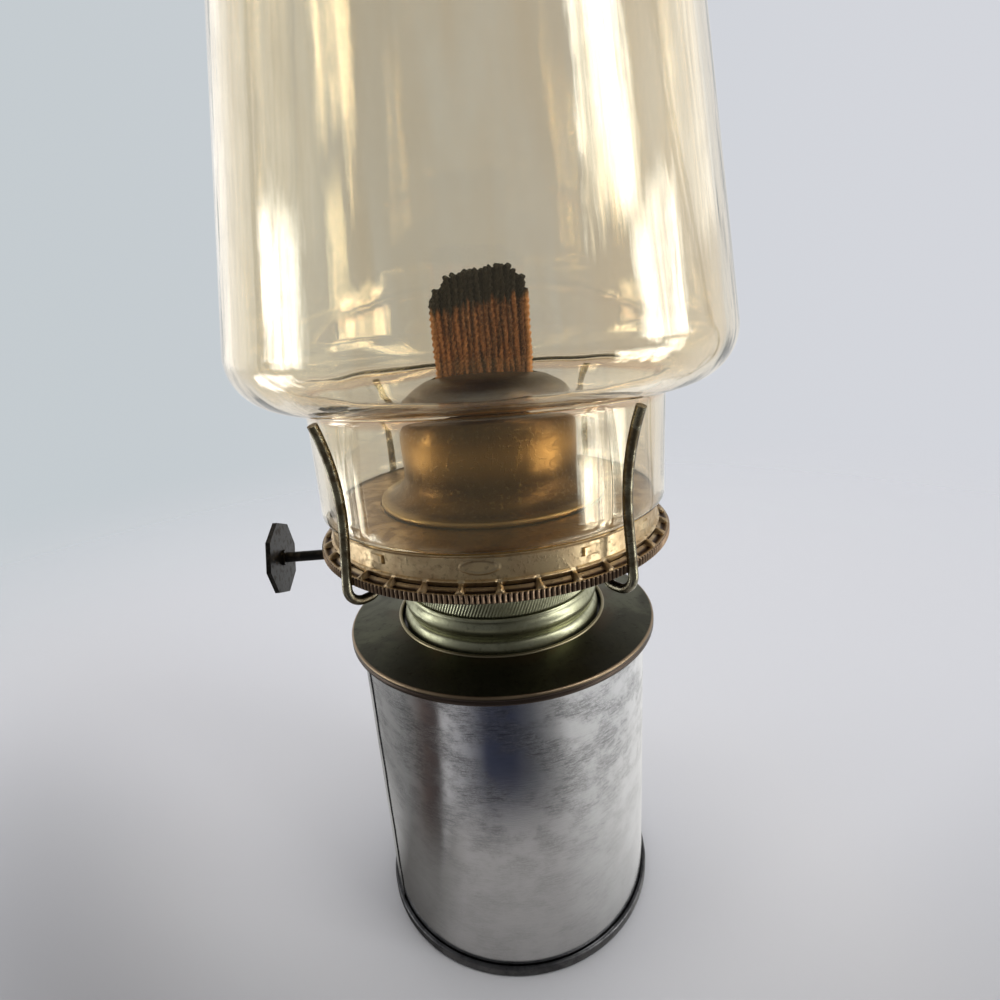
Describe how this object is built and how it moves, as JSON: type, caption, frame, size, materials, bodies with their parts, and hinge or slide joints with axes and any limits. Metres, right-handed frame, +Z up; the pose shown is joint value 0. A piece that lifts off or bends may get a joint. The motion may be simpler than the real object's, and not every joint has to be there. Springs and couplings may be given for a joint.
{
  "type": "kerosene lamp",
  "caption": "Oil lamp: drop-in tin font with a brass hanging plate, screw-in flat-wick burner with wick raiser, domed deflector and spring prongs, and a tapered glass chimney.",
  "frame": {"origin": "on the lamp's axis, at the surface that the font's bottom seam stands on", "axes": "+Z up along the lamp's axis; the wick's broad faces look along Y and the wick knob points to -X; the picture is seen from -Y"},
  "size_m": [0.102, 0.102, 0.2843],
  "materials": {
    "tinplate": "tarnished tinplate, semi-bright, fine horizontal grain",
    "dark_tin": "dull folded tinplate",
    "plate_brass": "dark olive aged brass, satin",
    "collar_brass": "pale greenish brass, polished by handling",
    "gallery_brass": "aged golden-brown brass",
    "dome_brass": "aged brass with heat colours, satin",
    "tube_brass": "plain brass, satin",
    "spring_wire": "olive-brown spring brass wire",
    "black_steel": "blackened, satin",
    "wick_cotton": "woven cotton, oil-stained, charred at the top",
    "lustre_glass": "pale amber glass with a thin lustre film"
  },
  "bodies": {
    "font": {"can_body": "tinplate", "can_bottom": "dark_tin", "can_top": "dark_tin", "top_plate": "plate_brass", "collar": "collar_brass"},
    "burner": {"burner_base": "collar_brass", "burner_floor": "gallery_brass", "air_basket": "gallery_brass", "air_diffuser": "gallery_brass", "gallery": "gallery_brass", "wick_tube": "tube_brass", "vent_tube": "tube_brass", "wheel_housing": "tube_brass", "shaft_bushing": "black_steel"},
    "raiser": {"wick_shaft": "black_steel", "spur_wheels": "tube_brass", "knob": "black_steel"},
    "wick": {"wick": "wick_cotton"},
    "deflector": {"deflector": "dome_brass"},
    "chimney": {"chimney": "lustre_glass"},
    "prong_front_left": {"prong_front_left": "spring_wire"},
    "prong_front_right": {"prong_front_right": "spring_wire"},
    "prong_back_right": {"prong_back_right": "spring_wire"},
    "prong_back_left": {"prong_back_left": "spring_wire"}
  },
  "joints": [
    {"name": "burner_lift", "type": "slide", "parent": "font", "child": "burner", "axis": [0, 0, 1], "range_m": [0, 0.06]},
    {"name": "knob_turn", "type": "hinge", "parent": "burner", "child": "raiser", "pos_m": [0, -0.0049, 0.0954], "axis": [1, 0, 0], "range_deg": [-460, 65]},
    {"name": "wick_raise", "type": "slide", "parent": "burner", "child": "wick", "axis": [0, 0, 1], "range_m": [-0.0256, 0.0036]},
    {"name": "deflector_lift", "type": "slide", "parent": "burner", "child": "deflector", "axis": [0, 0, 1], "range_m": [0, 0.055]},
    {"name": "chimney_lift", "type": "slide", "parent": "burner", "child": "chimney", "axis": [0, 0, 1], "range_m": [0, 0.07]},
    {"name": "spring_front_left", "type": "hinge", "parent": "burner", "child": "prong_front_left", "pos_m": [-0.02415, -0.02415, 0.09785], "axis": [0.7071, -0.7071, 0], "range_deg": [0, 8], "stiffness_Nm_per_rad": 0.6},
    {"name": "spring_front_right", "type": "hinge", "parent": "burner", "child": "prong_front_right", "pos_m": [0.02055, -0.02727, 0.09785], "axis": [0.7986, 0.6018, 0], "range_deg": [0, 8], "stiffness_Nm_per_rad": 0.6},
    {"name": "spring_back_right", "type": "hinge", "parent": "burner", "child": "prong_back_right", "pos_m": [0.02329, 0.02498, 0.09785], "axis": [-0.7314, 0.682, 0], "range_deg": [0, 8], "stiffness_Nm_per_rad": 0.6},
    {"name": "spring_back_left", "type": "hinge", "parent": "burner", "child": "prong_back_left", "pos_m": [-0.02415, 0.02415, 0.09785], "axis": [-0.7071, -0.7071, 0], "range_deg": [0, 8], "stiffness_Nm_per_rad": 0.6}
  ],
  "couplings": [
    {"joint": "knob_turn", "follows": "wick_raise", "rad_per_m": 312.5}
  ]
}
